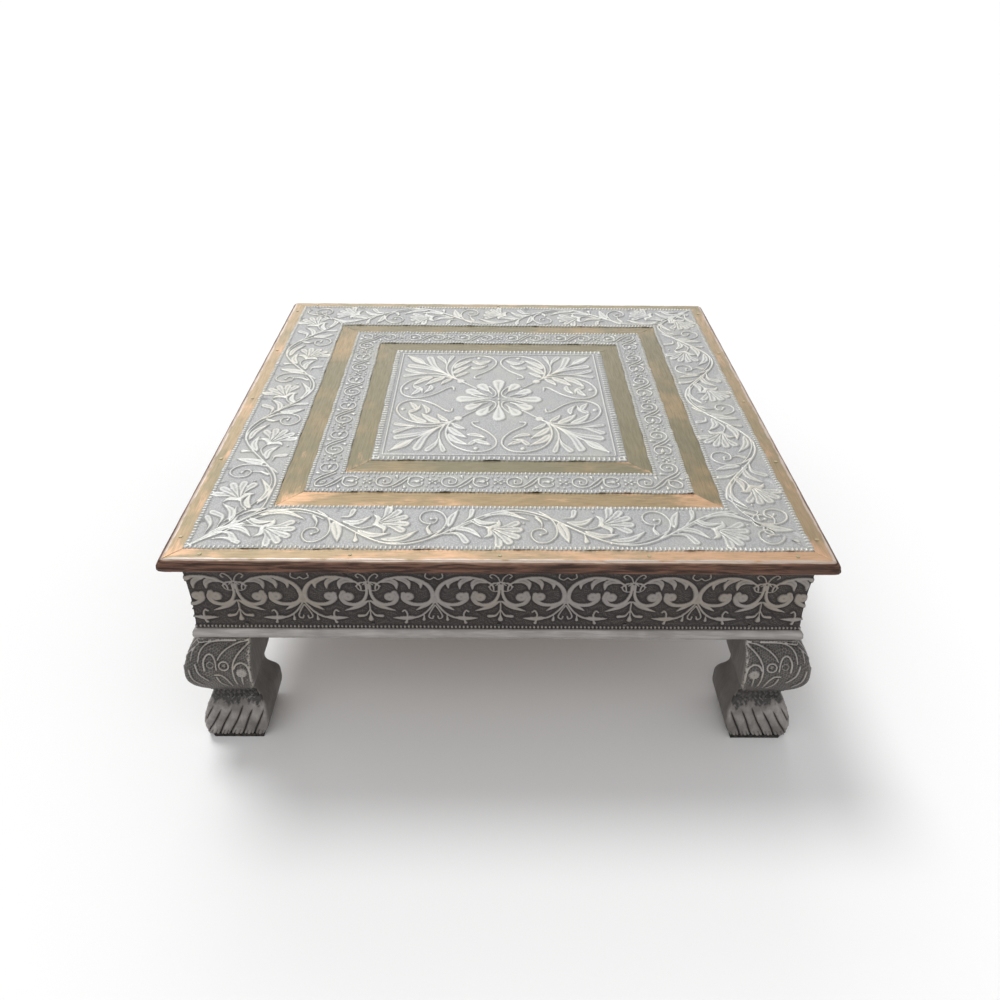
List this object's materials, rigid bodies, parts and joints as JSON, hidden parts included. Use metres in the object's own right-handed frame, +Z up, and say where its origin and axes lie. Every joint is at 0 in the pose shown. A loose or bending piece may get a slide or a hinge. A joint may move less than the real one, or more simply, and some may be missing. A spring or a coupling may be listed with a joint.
{
  "type": "low square table",
  "caption": "Low square table with an embossed metal top, brass bands, a stained wooden edge, an embossed apron and carved paw legs.",
  "frame": {"origin": "on the floor under the middle of the table", "axes": "+Z up, +X to the right, front towards -Y"},
  "size_m": [0.461, 0.461, 0.178],
  "materials": {
    "edge_wood": "stained and waxed, worn",
    "raw_wood": "sawn, unfinished",
    "white_metal": "embossed, satin with dark ground",
    "edge_brass": "worn and tarnished",
    "band_brass": "brushed and tarnished",
    "dark_metal": "embossed, dark patina with rubbed relief",
    "base_metal": "satin, slightly dulled",
    "leg_metal": "embossed, dark patina with rubbed relief",
    "paw_wood": "carved, grey finish",
    "pad": "dark, matt",
    "screw_steel": "plain zinc",
    "tack_brass": "tarnished"
  },
  "bodies": {
    "root": {"top_board": "raw_wood", "centre_panel": "white_metal", "leg_dowels": "raw_wood", "block_screws": "screw_steel", "board_screws": "screw_steel", "sheet_tacks": "tack_brass", "edge_moulding_front": "edge_wood", "edge_moulding_right": "edge_wood", "edge_moulding_back": "edge_wood", "edge_moulding_left": "edge_wood", "edge_strip_front": "edge_brass", "edge_strip_right": "edge_brass", "edge_strip_back": "edge_brass", "edge_strip_left": "edge_brass", "outer_border_front": "white_metal", "outer_border_right": "white_metal", "outer_border_back": "white_metal", "outer_border_left": "white_metal", "outer_band_front": "band_brass", "outer_band_right": "band_brass", "outer_band_back": "band_brass", "outer_band_left": "band_brass", "inner_border_front": "white_metal", "inner_border_right": "white_metal", "inner_border_back": "white_metal", "inner_border_left": "white_metal", "inner_band_front": "band_brass", "inner_band_right": "band_brass", "inner_band_back": "band_brass", "inner_band_left": "band_brass", "apron_rail_front": "raw_wood", "apron_rail_right": "raw_wood", "apron_rail_back": "raw_wood", "apron_rail_left": "raw_wood", "apron_sheet_front": "dark_metal", "apron_sheet_right": "dark_metal", "apron_sheet_back": "dark_metal", "apron_sheet_left": "dark_metal", "base_moulding_front": "base_metal", "base_moulding_right": "base_metal", "base_moulding_back": "base_metal", "base_moulding_left": "base_metal", "corner_block_front_left": "raw_wood", "corner_block_front_right": "raw_wood", "corner_block_back_right": "raw_wood", "corner_block_back_left": "raw_wood", "leg_front_left": "paw_wood", "leg_front_right": "paw_wood", "leg_back_right": "paw_wood", "leg_back_left": "paw_wood", "leg_cladding_front_left": "leg_metal", "leg_cladding_front_right": "leg_metal", "leg_cladding_back_right": "leg_metal", "leg_cladding_back_left": "leg_metal", "foot_pad_front_left": "pad", "foot_pad_front_right": "pad", "foot_pad_back_right": "pad", "foot_pad_back_left": "pad"}
  },
  "joints": []
}
